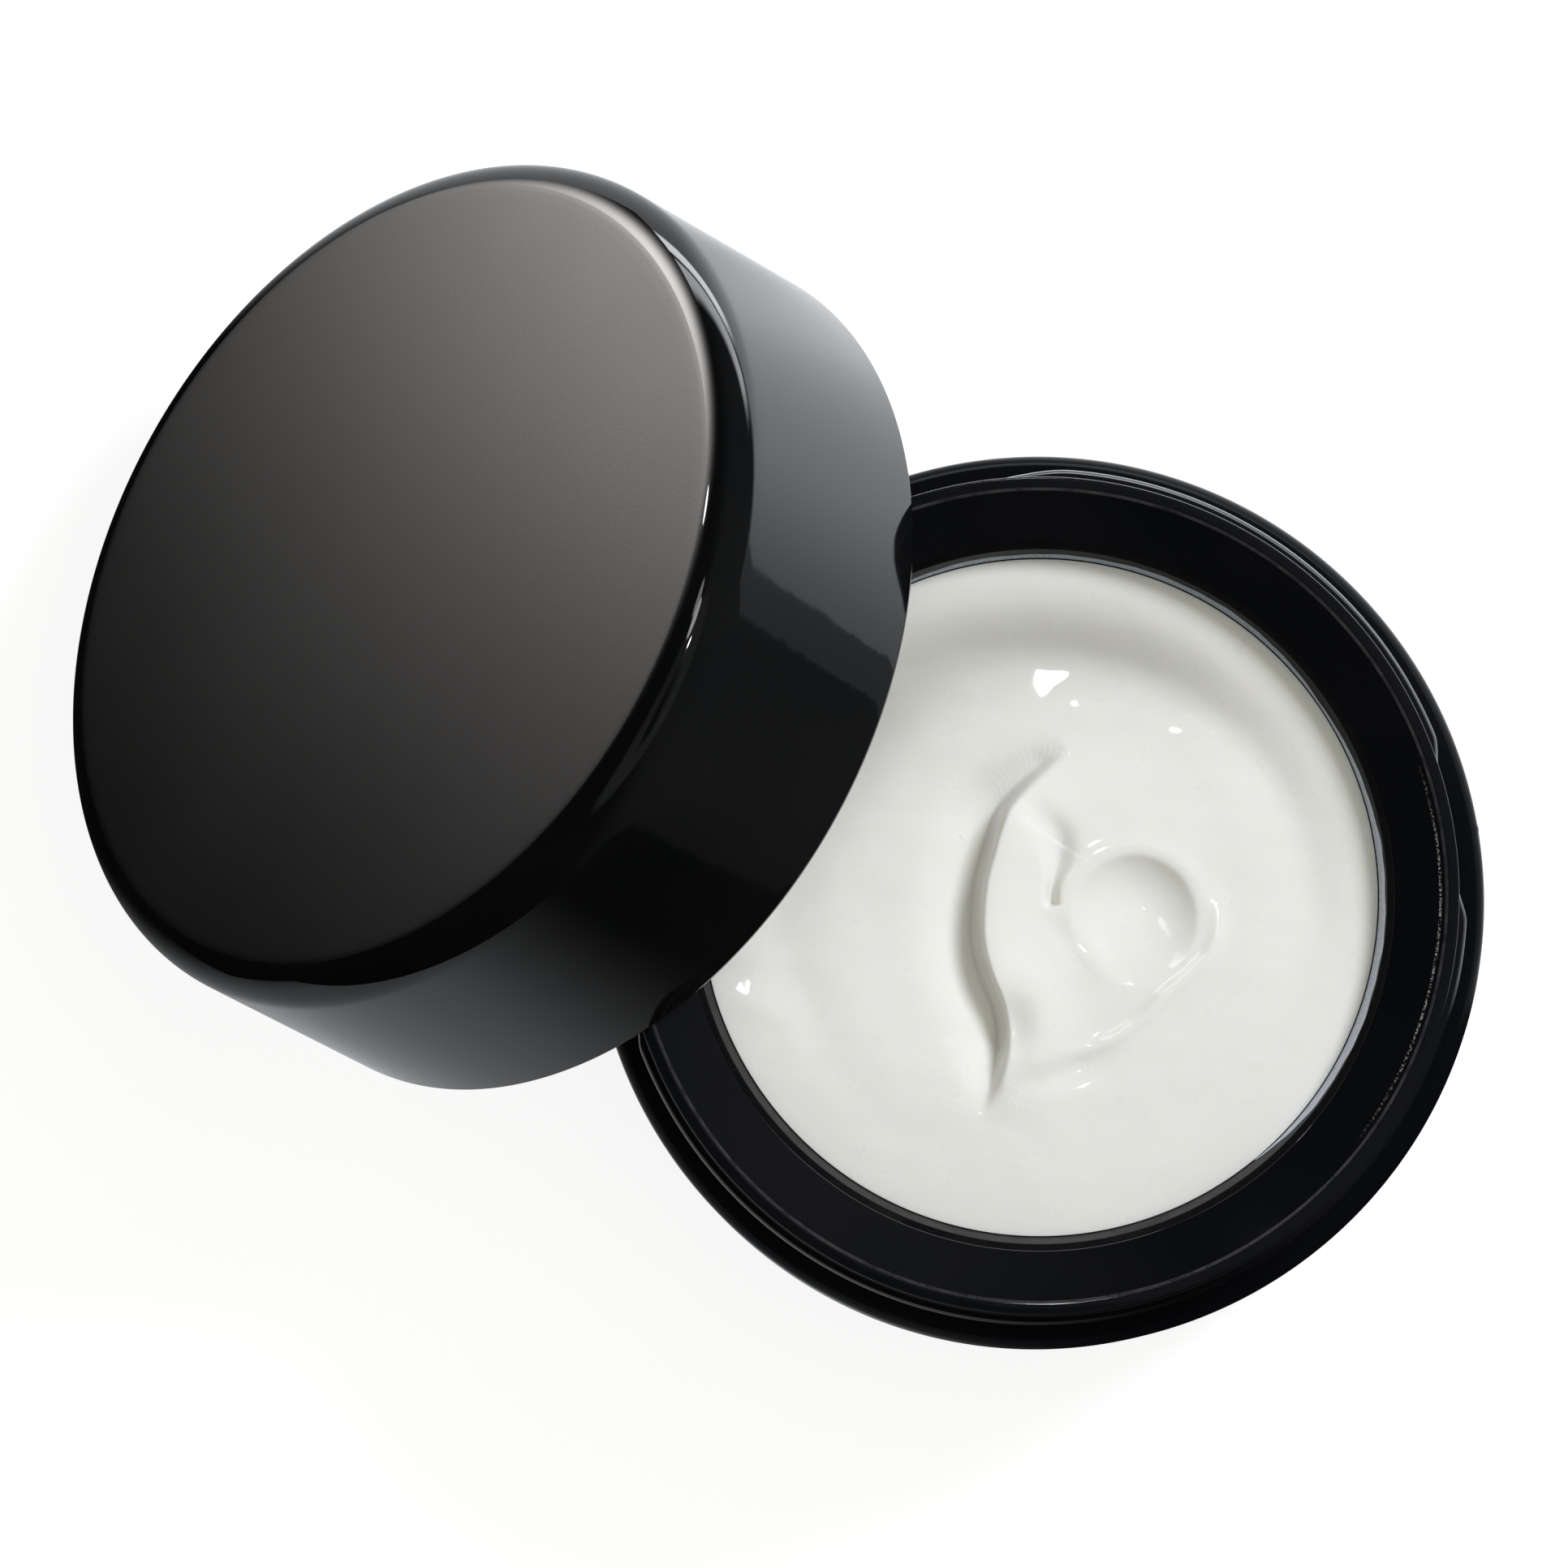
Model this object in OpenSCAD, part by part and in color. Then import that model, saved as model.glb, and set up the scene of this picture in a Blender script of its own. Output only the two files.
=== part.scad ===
// Screw-top cosmetic cream jar, open: the glass jar stands upright and filled,
// and its lid leans against the neck with its open end towards the jar.
// Millimetres. +Z is up along the jar's axis, the origin is the middle of its
// foot on the table, and the lid leans on the -X side, in the XZ plane.

/* [Jar] */
// Outside diameter of the glass body
jar_d = 61; // [60.8:0.1:61.4]
// Height of the glass jar, from the table to the lip
jar_h = 37.8; // [36:0.1:37.8]
// Diameter of the bare neck wall
neck_d = 56.6; // [56:0.1:56.8]
// Length of the neck, from the shoulder to the lip
neck_l = 10.8; // [10.4:0.1:11.4]
// Diameter of the bowl that holds the cream
bowl_d = 45.2; // [43:0.2:45.2]
// Thickness of the glass under the bowl
floor_t = 6.2; // [4:0.1:8]
// Height of the arch under the foot
foot_arch = 1.4; // [0.6:0.1:2]

/* [Screw thread] */
// Diameter over the neck's thread
thread_d = 57.9; // [57.4:0.1:57.9]
// Rise of the thread in one turn
pitch = 3.175; // [2.8:0.005:3.4]
// How far the neck's thread runs, in degrees
wrap = 324; // [180:6:348]
// Direction of the mould's parting line, in degrees from +X
seam_a = 36; // [30:1:42]

/* [Cream] */
// Depth of the cream's edge under the lip
fill_drop = 4.2; // [4.2:0.1:8]
// How far the middle of the cream stands over its edge
crown = 0.6; // [0:0.1:0.8]

/* [Lid] */
// Outside diameter of the lid
lid_d = 61.2; // [61.2:0.1:62]
// Height of the lid
lid_h = 19; // [18:0.1:21]
// Radius of the rounded edge round the lid's top
lid_edge = 2.7; // [1.5:0.1:3.5]
// Wall of the outer shell's skirt
shell_t = 0.8; // [0.7:0.05:0.9]
// Wall of the threaded insert
insert_t = 0.6; // [0.5:0.05:0.6]
// Thickness of the foam liner
liner_t = 0.9; // [0.6:0.1:1]

/* [Leaning lid] */
// Angle between the lid's axis and upright
lean = 45.8; // [45.8:0.1:47]
// Distance of the open end's middle from the jar's axis
lean_x = 35.66; // [35.66:0.02:36.4]

/* [Hidden] */
$fn = 180;
jr = jar_d / 2;
nr = neck_d / 2;
tr = thread_d / 2;
br = bowl_d / 2;
sh_z = jar_h - neck_l;         // level of the shoulder
sh_r = 1.9;                    // rounding of the shoulder
lr = lid_d / 2;
ir_out = lr - shell_t - 0.05;  // outside of the insert
ir_root = ir_out - insert_t;   // bottom of the insert's thread groove
ir_crest = ir_root - 0.65;     // top of the insert's thread
ceil_z = 11.7;                 // underside of the insert's top
cap_z = ceil_z + 1.2;          // upper side of the insert's top
top_in = lid_h - 1.9;          // underside of the shell's top

// Points on an arc in the profile plane, from angle a0 to a1
function arc(cx, cz, r, a0, a1, n = 8) =
    [for (i = [0:n]) let (a = a0 + (a1 - a0) * i / n) [cx + r * cos(a), cz + r * sin(a)]];

// Smooth step from 0 to 1 while x goes from a to b
function ramp(x, a, b) = let (t = max(0, min(1, (x - a) / (b - a)))) t * t * (3 - 2 * t);

// Smallest turn between two directions, in degrees
function gap(a, b) = abs((a - b + 540) % 360 - 180);

// Level of the cream at radius r
function cream_z(r) = jar_h - fill_drop + crown * (1 - ramp(r, 0.2 * br, br))
    + 0.25 * sin(360 * r / 11) * ramp(br - r, 0, 6);

// Profile of the bowl, from the middle of its floor up to the inner edge of the lip
function bowl(s = 0) = concat(
    [[0, floor_t + s]],
    arc(br - s - 6, floor_t + s + 6, 6, -90, 0, 9),
    [[br - s, jar_h - 5.4], [br + 0.35 - s, jar_h - 4.2]]);

// Ring of a thread's section: radii and levels at one place along the thread
function bead(a, r0, r1, z, w0, w1) =
    [for (p = [[r0, z - w0], [r1, z - w1], [r1, z + w1], [r0, z + w0]]) [p[0] * cos(a), p[0] * sin(a), p[1]]];

// Closed tube through rings of four points each
module sweep4(rings) {
    n = len(rings);
    pts = [for (r = rings) each r];
    faces = concat(
        [[0, 1, 2, 3]],
        [for (i = [0:n - 2], k = [0:3]) [4 * i + k, 4 * (i + 1) + k, 4 * (i + 1) + (k + 1) % 4]],
        [for (i = [0:n - 2], k = [0:3]) [4 * i + k, 4 * (i + 1) + (k + 1) % 4, 4 * i + (k + 1) % 4]],
        [[4 * n - 1, 4 * n - 2, 4 * n - 3, 4 * n - 4]]);
    polyhedron(pts, faces, convexity = 6);
}

// Moves a lid piece, drawn upright on its open end, to where the lid leans
module leaning() {
    translate([-lean_x, 0, lr * sin(lean) + 0.03]) rotate([0, -lean, 0]) children();
}

// Height of the neck thread over the bare neck, along its run of t degrees
function lug(t) = (tr - nr) * min(ramp(t, 0, 14), ramp(wrap - t, 0, 14))
    * (0.3 + 0.7 * ramp(gap(125 - t, seam_a), 8, 14)) * (0.3 + 0.7 * ramp(gap(125 - t, seam_a + 180), 8, 14));

module glass_jar() {
    color([0.04, 0.04, 0.05]) union() {
        rotate_extrude() polygon(concat(
            [[0, foot_arch]],
            [[21, foot_arch], [24.6, 0.25], [25.4, 0]],
            arc(jr - 3, 3, 3, -90, 0, 8),
            arc(jr - sh_r, sh_z - sh_r, sh_r, 0, 90, 8),
            [[nr, sh_z]],
            arc(nr - 0.35, jar_h - 0.35, 0.35, 0, 90, 4),
            [[27.5, jar_h], [27.25, jar_h - 0.12], [24.25, jar_h - 1.5], [23.85, jar_h - 1.95]],
            [for (i = [len(bowl()) - 1:-1:0]) bowl()[i]]));
        sweep4([for (t = [0:6:wrap]) bead(125 - t, nr - 0.5, nr + 0.06 + lug(t),
            jar_h - 2.35 - pitch * t / 360, 1.15, 0.35)]);
    }
}

module cream() {
    color([0.93, 0.93, 0.9]) rotate_extrude() polygon(concat(
        [for (p = bowl(0.03)) if (p[1] < jar_h - fill_drop - 0.3) p],
        [[br + 0.3, jar_h - fill_drop - 0.05]],
        [for (i = [0:14]) let (r = (br + 0.1) * (1 - i / 14)) [r, cream_z(r)]]));
}

module lid_shell() {
    color([0.07, 0.07, 0.07]) leaning() {
        rotate_extrude() polygon(concat(
            [[lr - shell_t, 0], [lr - 0.2, 0], [lr, 0.25]],
            arc(lr - lid_edge, lid_h - lid_edge, lid_edge, 0, 90, 10),
            [[0, lid_h], [0, top_in]],
            arc(lr - shell_t - 1.4, top_in - 1.4, 1.4, 90, 0, 5),
            [[lr - shell_t, 0.95], [lr - shell_t - 0.25, 0.8], [lr - shell_t - 0.25, 0.55]]));
        // ring and ribs that press on the insert's top
        difference() {
            translate([0, 0, cap_z + 0.02]) cylinder(r = 12, h = top_in - cap_z + 0.3);
            translate([0, 0, cap_z - 1]) cylinder(r = 10.8, h = top_in - cap_z + 0.9);
        }
        for (a = [15:30:345]) rotate([0, 0, a])
            translate([11.5, -0.4, cap_z + 0.02]) cube([17.3, 0.8, top_in - cap_z + 0.3]);
    }
}

module lid_insert() {
    color([0.1, 0.1, 0.1]) leaning() {
        rotate_extrude() polygon([
            [ir_out - 0.3, 1], [ir_out, 1.3], [ir_out, cap_z - 1], [ir_out - 1, cap_z], [0, cap_z],
            [0, ceil_z], [ir_root, ceil_z], [ir_root, 10.4], [ir_crest - 0.1, 10.3], [ir_crest - 0.1, 10.1],
            [ir_root, 9.8], [ir_root, 1.5], [ir_out - 0.45, 1]]);
        sweep4([for (t = [0:7.5:480]) bead(t, ir_root + 0.2,
            ir_root - 0.05 - 0.6 * min(ramp(t, 0, 24), ramp(480 - t, 0, 24)),
            3.7 + pitch * t / 360, 1, 0.3)]);
    }
}

module foam_liner() {
    color([0.86, 0.86, 0.84]) leaning()
        translate([0, 0, 10.6]) cylinder(r = ir_root - 0.3, h = liner_t);
}

glass_jar();
cream();
lid_shell();
lid_insert();
foam_liner();
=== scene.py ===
import math

import bpy
import numpy as np
from mathutils import Matrix, Vector


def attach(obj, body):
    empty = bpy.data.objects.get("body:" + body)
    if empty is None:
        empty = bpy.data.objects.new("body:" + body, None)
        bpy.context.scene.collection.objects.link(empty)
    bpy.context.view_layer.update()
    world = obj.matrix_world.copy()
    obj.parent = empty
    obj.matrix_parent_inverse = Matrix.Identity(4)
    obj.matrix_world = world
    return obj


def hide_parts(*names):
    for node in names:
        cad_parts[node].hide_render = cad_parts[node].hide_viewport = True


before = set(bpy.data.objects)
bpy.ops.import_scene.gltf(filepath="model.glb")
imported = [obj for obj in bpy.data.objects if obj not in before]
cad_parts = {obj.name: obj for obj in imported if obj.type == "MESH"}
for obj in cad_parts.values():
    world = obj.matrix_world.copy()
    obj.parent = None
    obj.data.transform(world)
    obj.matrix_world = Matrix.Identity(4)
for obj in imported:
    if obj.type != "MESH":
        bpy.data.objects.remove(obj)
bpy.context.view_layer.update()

MM = 0.001

# ------------------------------------------------------------------ dimensions, mm
H = 37.8                 # level of the lip
SH = 27.0                # level of the shoulder
JR = 30.5                # glass body
NR = 28.3                # bare neck
TR = 28.95               # over the neck's thread
BR = 22.6                # bowl
LR, LH = 30.6, 19.0      # lid
PITCH = 3.175
SEAM = 36.0              # mould parting line, degrees
LEAN = math.radians(45.8)
LIDM = Matrix.Translation(Vector((-35.66, 0, LR * math.sin(LEAN) + 0.03))) @ Matrix.Rotation(-LEAN, 4, "Y")


def ramp(x, a, b):
    t = np.clip((np.asarray(x, float) - a) / (b - a), 0, 1)
    return t * t * (3 - 2 * t)


def gap(a, b):
    return np.abs((np.asarray(a) - b + 540) % 360 - 180)


def wave(a, seed, n=9, lo=2, hi=14):
    """Smooth closed noise round a circle, about -1 to 1."""
    rng = np.random.RandomState(seed)
    out = np.zeros_like(a)
    for _ in range(n):
        out += rng.uniform(0.4, 1) * np.cos(rng.randint(lo, hi + 1) * a + rng.uniform(0, 6.28))
    return out / n * 1.6


def lumps(x, y, seed, size, n=14):
    """Smooth noise over a plane with features of about this size, about -1 to 1."""
    rng = np.random.RandomState(seed)
    out = np.zeros_like(x)
    for _ in range(n):
        k = 6.283 / (size * rng.uniform(0.7, 1.6))
        t = rng.uniform(0, 6.283)
        out += np.cos(k * (x * math.cos(t) + y * math.sin(t)) + rng.uniform(0, 6.283))
    return out / math.sqrt(n)


# ------------------------------------------------------------------ profiles and meshes
def path(corners, steps=9, chord=0.6):
    """Polyline through corners (r, z, rounding), each corner rounded by an arc."""
    c = [tuple(p) + (0,) * (3 - len(p)) for p in corners]
    out = []
    for i, (x, y, rad) in enumerate(c):
        if rad <= 0 or i in (0, len(c) - 1):
            out.append((x, y))
            continue
        p, a, b = np.array([x, y]), np.array(c[i - 1][:2]), np.array(c[i + 1][:2])
        u, v = (a - p) / np.linalg.norm(a - p), (b - p) / np.linalg.norm(b - p)
        half = math.acos(max(-1, min(1, float(u @ v)))) / 2
        d = rad / math.tan(half)
        centre = p + (u + v) / np.linalg.norm(u + v) * rad / math.sin(half)
        s, e = p + u * d - centre, p + v * d - centre
        turn = math.atan2(s[0] * e[1] - s[1] * e[0], float(s @ e))
        for k in range(steps + 1):
            t = turn * k / steps
            out.append((centre[0] + s[0] * math.cos(t) - s[1] * math.sin(t), centre[1] + s[0] * math.sin(t) + s[1] * math.cos(t)))
    fine = [out[0]]
    for p in out[1:]:
        q = fine[-1]
        n = max(1, int(math.ceil(math.hypot(p[0] - q[0], p[1] - q[1]) / chord)))
        for k in range(1, n + 1):
            fine.append((q[0] + (p[0] - q[0]) * k / n, q[1] + (p[1] - q[1]) * k / n))
    return np.array(fine)


def new_mesh(name, verts, faces, place=None, smooth=True, sharp=None):
    me = bpy.data.meshes.new(name)
    verts = np.asarray(verts, float)
    if place is not None:
        m = np.array(place)
        verts = verts @ m[:3, :3].T + m[:3, 3]
    me.from_pydata((verts * MM).tolist(), [], faces)
    me.validate()
    me.update()
    if smooth:
        me.polygons.foreach_set("use_smooth", [True] * len(me.polygons))
    if sharp:
        me.set_sharp_from_angle(angle=math.radians(sharp))
    ob = bpy.data.objects.new(name, me)
    bpy.context.scene.collection.objects.link(ob)
    return ob


def grid_faces(rows, n, wrap_rows=False, base=0, flip=False):
    """Quads of a grid of rows by n columns that closes round its columns."""
    out = []
    for i in range(rows if wrap_rows else rows - 1):
        a, b = base + i * n, base + ((i + 1) % rows) * n
        for j in range(n):
            k = (j + 1) % n
            f = (a + j, a + k, b + k, b + j)
            out.append(f[::-1] if flip else f)
    return out


def turned(prof, n, bend=None, closed=False):
    """Solid of revolution. prof runs from the axis at the bottom round the outside to the axis at the top,
    or is a closed ring. bend(angle, r, z) gives each point's own r and z."""
    prof = np.asarray(prof, float)
    rows = prof if closed else prof[1:-1]
    A = np.linspace(0, 2 * np.pi, n, endpoint=False)
    R, AA = np.meshgrid(rows[:, 0], A, indexing="ij")
    Z = np.meshgrid(rows[:, 1], A, indexing="ij")[0]
    if bend:
        R, Z = bend(AA, R, Z)
    V = np.stack([R * np.cos(AA), R * np.sin(AA), Z], -1).reshape(-1, 3)
    F = grid_faces(len(rows), n, wrap_rows=closed)
    if not closed:
        lo, hi = len(V), len(V) + 1
        V = np.vstack([V, [[0, 0, prof[0, 1]], [0, 0, prof[-1, 1]]]])
        last = (len(rows) - 1) * n
        for j in range(n):
            k = (j + 1) % n
            F.append((lo, k, j))
            F.append((hi, last + j, last + k))
    return V, F


def tube(rings):
    """Closed tube through rings with the same number of points, given as an array (rings, points, 3)."""
    rings = np.asarray(rings, float)
    m, k = rings.shape[:2]
    V = rings.reshape(-1, 3)
    F = [(i * k + j, (i + 1) * k + j, (i + 1) * k + (j + 1) % k, i * k + (j + 1) % k) for i in range(m - 1) for j in range(k)]
    F.append(tuple(range(k)))
    F.append(tuple((m - 1) * k + j for j in reversed(range(k))))
    return V, F


def add(parts):
    V, F, base = [], [], 0
    for v, f in parts:
        V.append(v)
        F += [tuple(i + base for i in q) for q in f]
        base += len(v)
    return np.vstack(V), F


# ------------------------------------------------------------------ materials
def material(name, base, rough, **sockets):
    m = bpy.data.materials.new(name)
    m.use_nodes = True
    nt = m.node_tree
    b = nt.nodes["Principled BSDF"]
    b.inputs["Base Color"].default_value = (*base, 1)
    b.inputs["Roughness"].default_value = rough
    for k, v in sockets.items():
        b.inputs[k.replace("_", " ")].default_value = v
    return m, nt, b


def coords(nt):
    n = nt.nodes.new("ShaderNodeTexCoord")
    return n.outputs["Object"]


def noise(nt, vec, scale, detail=3, rough=0.5, distort=0):
    n = nt.nodes.new("ShaderNodeTexNoise")
    n.inputs["Scale"].default_value = scale
    n.inputs["Detail"].default_value = detail
    n.inputs["Roughness"].default_value = rough
    n.inputs["Distortion"].default_value = distort
    nt.links.new(vec, n.inputs["Vector"])
    return n.outputs["Fac"]


def span(nt, value, lo, hi, a=0.3, b=0.7):
    n = nt.nodes.new("ShaderNodeMapRange")
    n.inputs["From Min"].default_value = a
    n.inputs["From Max"].default_value = b
    n.inputs["To Min"].default_value = lo
    n.inputs["To Max"].default_value = hi
    nt.links.new(value, n.inputs["Value"])
    return n.outputs["Result"]


def bump(nt, height, distance, strength=1.0, after=None):
    n = nt.nodes.new("ShaderNodeBump")
    n.inputs["Strength"].default_value = strength
    n.inputs["Distance"].default_value = distance
    nt.links.new(height, n.inputs["Height"])
    if after is not None:
        nt.links.new(after, n.inputs["Normal"])
    return n.outputs["Normal"]


def mixed(nt, fac, a, b):
    n = nt.nodes.new("ShaderNodeMix")
    n.data_type = "RGBA"
    n.inputs[6].default_value = (*a, 1)
    n.inputs[7].default_value = (*b, 1)
    nt.links.new(fac, n.inputs[0])
    return n.outputs[2]


def calc(nt, op, a, b=None, c=None):
    n = nt.nodes.new("ShaderNodeMath")
    n.operation = op
    for i, x in enumerate((a, b, c)):
        if x is None:
            continue
        if isinstance(x, (int, float)):
            n.inputs[i].default_value = x
        else:
            nt.links.new(x, n.inputs[i])
    return n.outputs[0]


def smooth(nt, x, a, b):
    n = nt.nodes.new("ShaderNodeMapRange")
    n.interpolation_type = "SMOOTHSTEP"
    n.inputs["From Min"].default_value = a
    n.inputs["From Max"].default_value = b
    if isinstance(x, (int, float)):
        n.inputs["Value"].default_value = x
    else:
        nt.links.new(x, n.inputs["Value"])
    return n.outputs["Result"]


def make_glass():
    m, nt, b = material("black_glass", (0.004, 0.0045, 0.006), 0.05, IOR=1.5)
    v = coords(nt)
    wide, fine = noise(nt, v, 55, 2), noise(nt, v, 900, 3)
    tone_and_painted_sparkle = nt.nodes.new("ShaderNodeMix")
    tone_and_painted_sparkle.data_type = "RGBA"
    tone_and_painted_sparkle.inputs[7].default_value = (0.34, 0.325, 0.3, 1)
    nt.links.new(mixed(nt, span(nt, wide, 0, 1), (0.0025, 0.003, 0.0042), (0.0048, 0.005, 0.0058)), tone_and_painted_sparkle.inputs[6])
    # painted highlight: light-grey specks, shaped like small nicks, painted into the glass's colour along the inner
    # edge of the lip on one side, standing in for the sparkle of light there
    sep = nt.nodes.new("ShaderNodeSeparateXYZ")
    nt.links.new(v, sep.inputs[0])

    def calc(op, a, c):
        n = nt.nodes.new("ShaderNodeMath")
        n.operation = op
        for k, x in enumerate((a, c)):
            if isinstance(x, (int, float)):
                n.inputs[k].default_value = x
            else:
                nt.links.new(x, n.inputs[k])
        return n.outputs[0]

    x, y, z = sep.outputs
    r = calc("SQRT", calc("ADD", calc("MULTIPLY", x, x), calc("MULTIPLY", y, y)), 0.0)
    line = span(nt, calc("ABSOLUTE", calc("SUBTRACT", r, 0.02703), 0.0), 1, 0, 0.00003, 0.00011)
    away = calc("ABSOLUTE", calc("SUBTRACT", calc("ARCTAN2", y, x), 0.3), 0.0)
    painted_sparkle = calc("MULTIPLY", calc("MULTIPLY", line, span(nt, away, 1, 0, 0.25, 0.5)), span(nt, noise(nt, v, 6500, 2, 0.7), 0, 1, 0.5, 0.6))
    painted_sparkle = calc("MULTIPLY", painted_sparkle, span(nt, z, 0, 1, 0.0365, 0.0368))
    nt.links.new(painted_sparkle, tone_and_painted_sparkle.inputs[0])
    nt.links.new(tone_and_painted_sparkle.outputs[2], b.inputs["Base Color"])
    nt.links.new(span(nt, noise(nt, v, 160, 4, 0.6, 0.4), 0.03, 0.1), b.inputs["Roughness"])
    nt.links.new(bump(nt, fine, 0.000002, 0.6, bump(nt, wide, 0.00025, 0.35)), b.inputs["Normal"])
    return m


def make_glass_side():
    """The body of the jar."""
    m, nt, b = material("glass_side", (0.004, 0.0045, 0.006), 0.07, IOR=1.5)
    v = coords(nt)
    sep = nt.nodes.new("ShaderNodeSeparateXYZ")
    nt.links.new(v, sep.inputs[0])
    nt.links.new(span(nt, sep.outputs[2], 1.5, 1.12, 0.019, 0.0255), b.inputs["IOR"])
    wide, fine = noise(nt, v, 55, 2), noise(nt, v, 900, 3)
    nt.links.new(mixed(nt, span(nt, wide, 0, 1), (0.0025, 0.003, 0.0042), (0.0048, 0.005, 0.0058)), b.inputs["Base Color"])
    nt.links.new(span(nt, noise(nt, v, 160, 4, 0.6, 0.4), 0.04, 0.11), b.inputs["Roughness"])
    nt.links.new(bump(nt, fine, 0.000002, 0.6, bump(nt, wide, 0.00025, 0.35)), b.inputs["Normal"])
    return m


def make_glass_wall():
    """The glass just over the cream, dulled by a film of grease."""
    m, nt, b = material("glass_wall", (0.004, 0.0045, 0.006), 0.22, IOR=1.5)
    b.inputs["Specular IOR Level"].default_value = 0.04
    v = coords(nt)
    smear, fine = noise(nt, v, 260, 4, 0.6, 1.2), noise(nt, v, 1400, 3)
    nt.links.new(mixed(nt, span(nt, smear, 0, 1, 0.42, 0.72), (0.0015, 0.0018, 0.0025), (0.004, 0.004, 0.0045)), b.inputs["Base Color"])
    nt.links.new(span(nt, smear, 0.14, 0.34), b.inputs["Roughness"])
    nt.links.new(bump(nt, fine, 0.000006, 0.5), b.inputs["Normal"])
    return m


def make_glass_edge():
    """The inner edge of the lip: dulled by use, and painted lighter in colour as a highlight line along the edge."""
    m, nt, b = material("glass_edge", (0.02, 0.021, 0.023), 0.3, IOR=1.5)
    v = coords(nt)
    wear_and_painted_sheen, fine = noise(nt, v, 700, 4, 0.65), noise(nt, v, 4200, 3)
    # painted highlight: the edge's base colour, several times lighter than the glass, stands in for the thin line of
    # light along it
    nt.links.new(mixed(nt, span(nt, wear_and_painted_sheen, 0, 1, 0.35, 0.65), (0.011, 0.0115, 0.013), (0.034, 0.034, 0.036)), b.inputs["Base Color"])
    nt.links.new(span(nt, wear_and_painted_sheen, 0.2, 0.4), b.inputs["Roughness"])
    nt.links.new(bump(nt, fine, 0.00001, 0.6), b.inputs["Normal"])
    return m


def make_smear():
    """Cream wiped so thin on the black glass that the dark shows through."""
    m, nt, b = material("cream_smear", (0.2, 0.225, 0.27), 0.25, IOR=1.45)
    v = coords(nt)
    wide, mid = noise(nt, v, 180, 3), noise(nt, v, 1200, 3)
    sep = nt.nodes.new("ShaderNodeSeparateXYZ")
    nt.links.new(v, sep.inputs[0])
    thick = span(nt, sep.outputs[0], 0.0, 0.85, 0.006, 0.021)
    mix = nt.nodes.new("ShaderNodeMath")
    mix.operation = "MULTIPLY_ADD"
    mix.inputs[1].default_value = 0.15
    nt.links.new(wide, mix.inputs[0])
    nt.links.new(thick, mix.inputs[2])
    nt.links.new(mixed(nt, mix.outputs[0], (0.26, 0.3, 0.37), (0.62, 0.68, 0.8)), b.inputs["Base Color"])
    nt.links.new(span(nt, mid, 0.18, 0.34), b.inputs["Roughness"])
    nt.links.new(bump(nt, mid, 0.00002, 0.5), b.inputs["Normal"])
    return m


def make_cream():
    m, nt, b = material("cream", (0.78, 0.775, 0.7), 0.3, IOR=1.45)
    b.inputs["Coat Weight"].default_value = 0.6
    b.inputs["Coat Roughness"].default_value = 0.04
    b.inputs["Subsurface Weight"].default_value = 0.3
    b.inputs["Subsurface Radius"].default_value = (1.0, 0.85, 0.4)
    b.inputs["Subsurface Scale"].default_value = 0.0012
    v = coords(nt)
    wide, mid, fine = noise(nt, v, 70, 2), noise(nt, v, 450, 3, 0.55), noise(nt, v, 2600, 2)
    tone = mixed(nt, span(nt, wide, 0, 1), (0.782, 0.78, 0.73), (0.8, 0.797, 0.752))
    # painted shade: a grey band multiplied into the cream's colour along the swept bank stands in for the shade on it
    sep = nt.nodes.new("ShaderNodeSeparateXYZ")
    nt.links.new(v, sep.inputs[0])
    x, y = sep.outputs[0], sep.outputs[1]
    pu = calc(nt, "ADD", calc(nt, "MULTIPLY", x, 0.8942), calc(nt, "MULTIPLY_ADD", y, 0.4478, -0.001))
    pv = calc(nt, "ADD", calc(nt, "MULTIPLY", x, -0.4478), calc(nt, "MULTIPLY_ADD", y, 0.8942, 0.001))
    t = calc(nt, "MULTIPLY", calc(nt, "ARCTAN2", pv, pu), 57.2958)
    off = calc(nt, "DIVIDE", calc(nt, "SUBTRACT", calc(nt, "SQRT", calc(nt, "ADD", calc(nt, "MULTIPLY", pu, pu), calc(nt, "MULTIPLY", pv, pv))), 0.0184), 0.0034)
    shade_band_mask = calc(nt, "EXPONENT", calc(nt, "MULTIPLY", calc(nt, "MULTIPLY", off, off), -1.0))
    shade_band_mask = calc(nt, "MULTIPLY", shade_band_mask, calc(nt, "MULTIPLY", smooth(nt, t, 30, 85), smooth(nt, t, 172, 130)))
    painted_shade_mix = nt.nodes.new("ShaderNodeMix")
    painted_shade_mix.data_type = "RGBA"
    painted_shade_mix.blend_type = "MULTIPLY"
    painted_shade_mix.inputs[7].default_value = (0.74, 0.735, 0.725, 1)
    nt.links.new(calc(nt, "MULTIPLY", shade_band_mask, 0.95), painted_shade_mix.inputs[0])
    nt.links.new(tone, painted_shade_mix.inputs[6])
    nt.links.new(painted_shade_mix.outputs[2], b.inputs["Base Color"])
    nt.links.new(span(nt, mid, 0.26, 0.34), b.inputs["Roughness"])
    nt.links.new(bump(nt, fine, 0.000002, 0.4, bump(nt, mid, 0.00002, 0.12)), b.inputs["Normal"])
    return m


def make_lid_gloss():
    m, nt, b = material("lid_gloss", (0.003, 0.0033, 0.0036), 0.04, IOR=1.52)
    v = coords(nt)
    wide, peel = noise(nt, v, 90, 3), noise(nt, v, 1500, 2)
    nt.links.new(mixed(nt, span(nt, wide, 0, 1), (0.002, 0.0023, 0.0026), (0.0036, 0.0038, 0.004)), b.inputs["Base Color"])
    nt.links.new(span(nt, wide, 0.03, 0.055), b.inputs["Roughness"])
    nt.links.new(bump(nt, peel, 0.0000012, 0.5, bump(nt, wide, 0.00006, 0.3)), b.inputs["Normal"])
    return m


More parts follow.
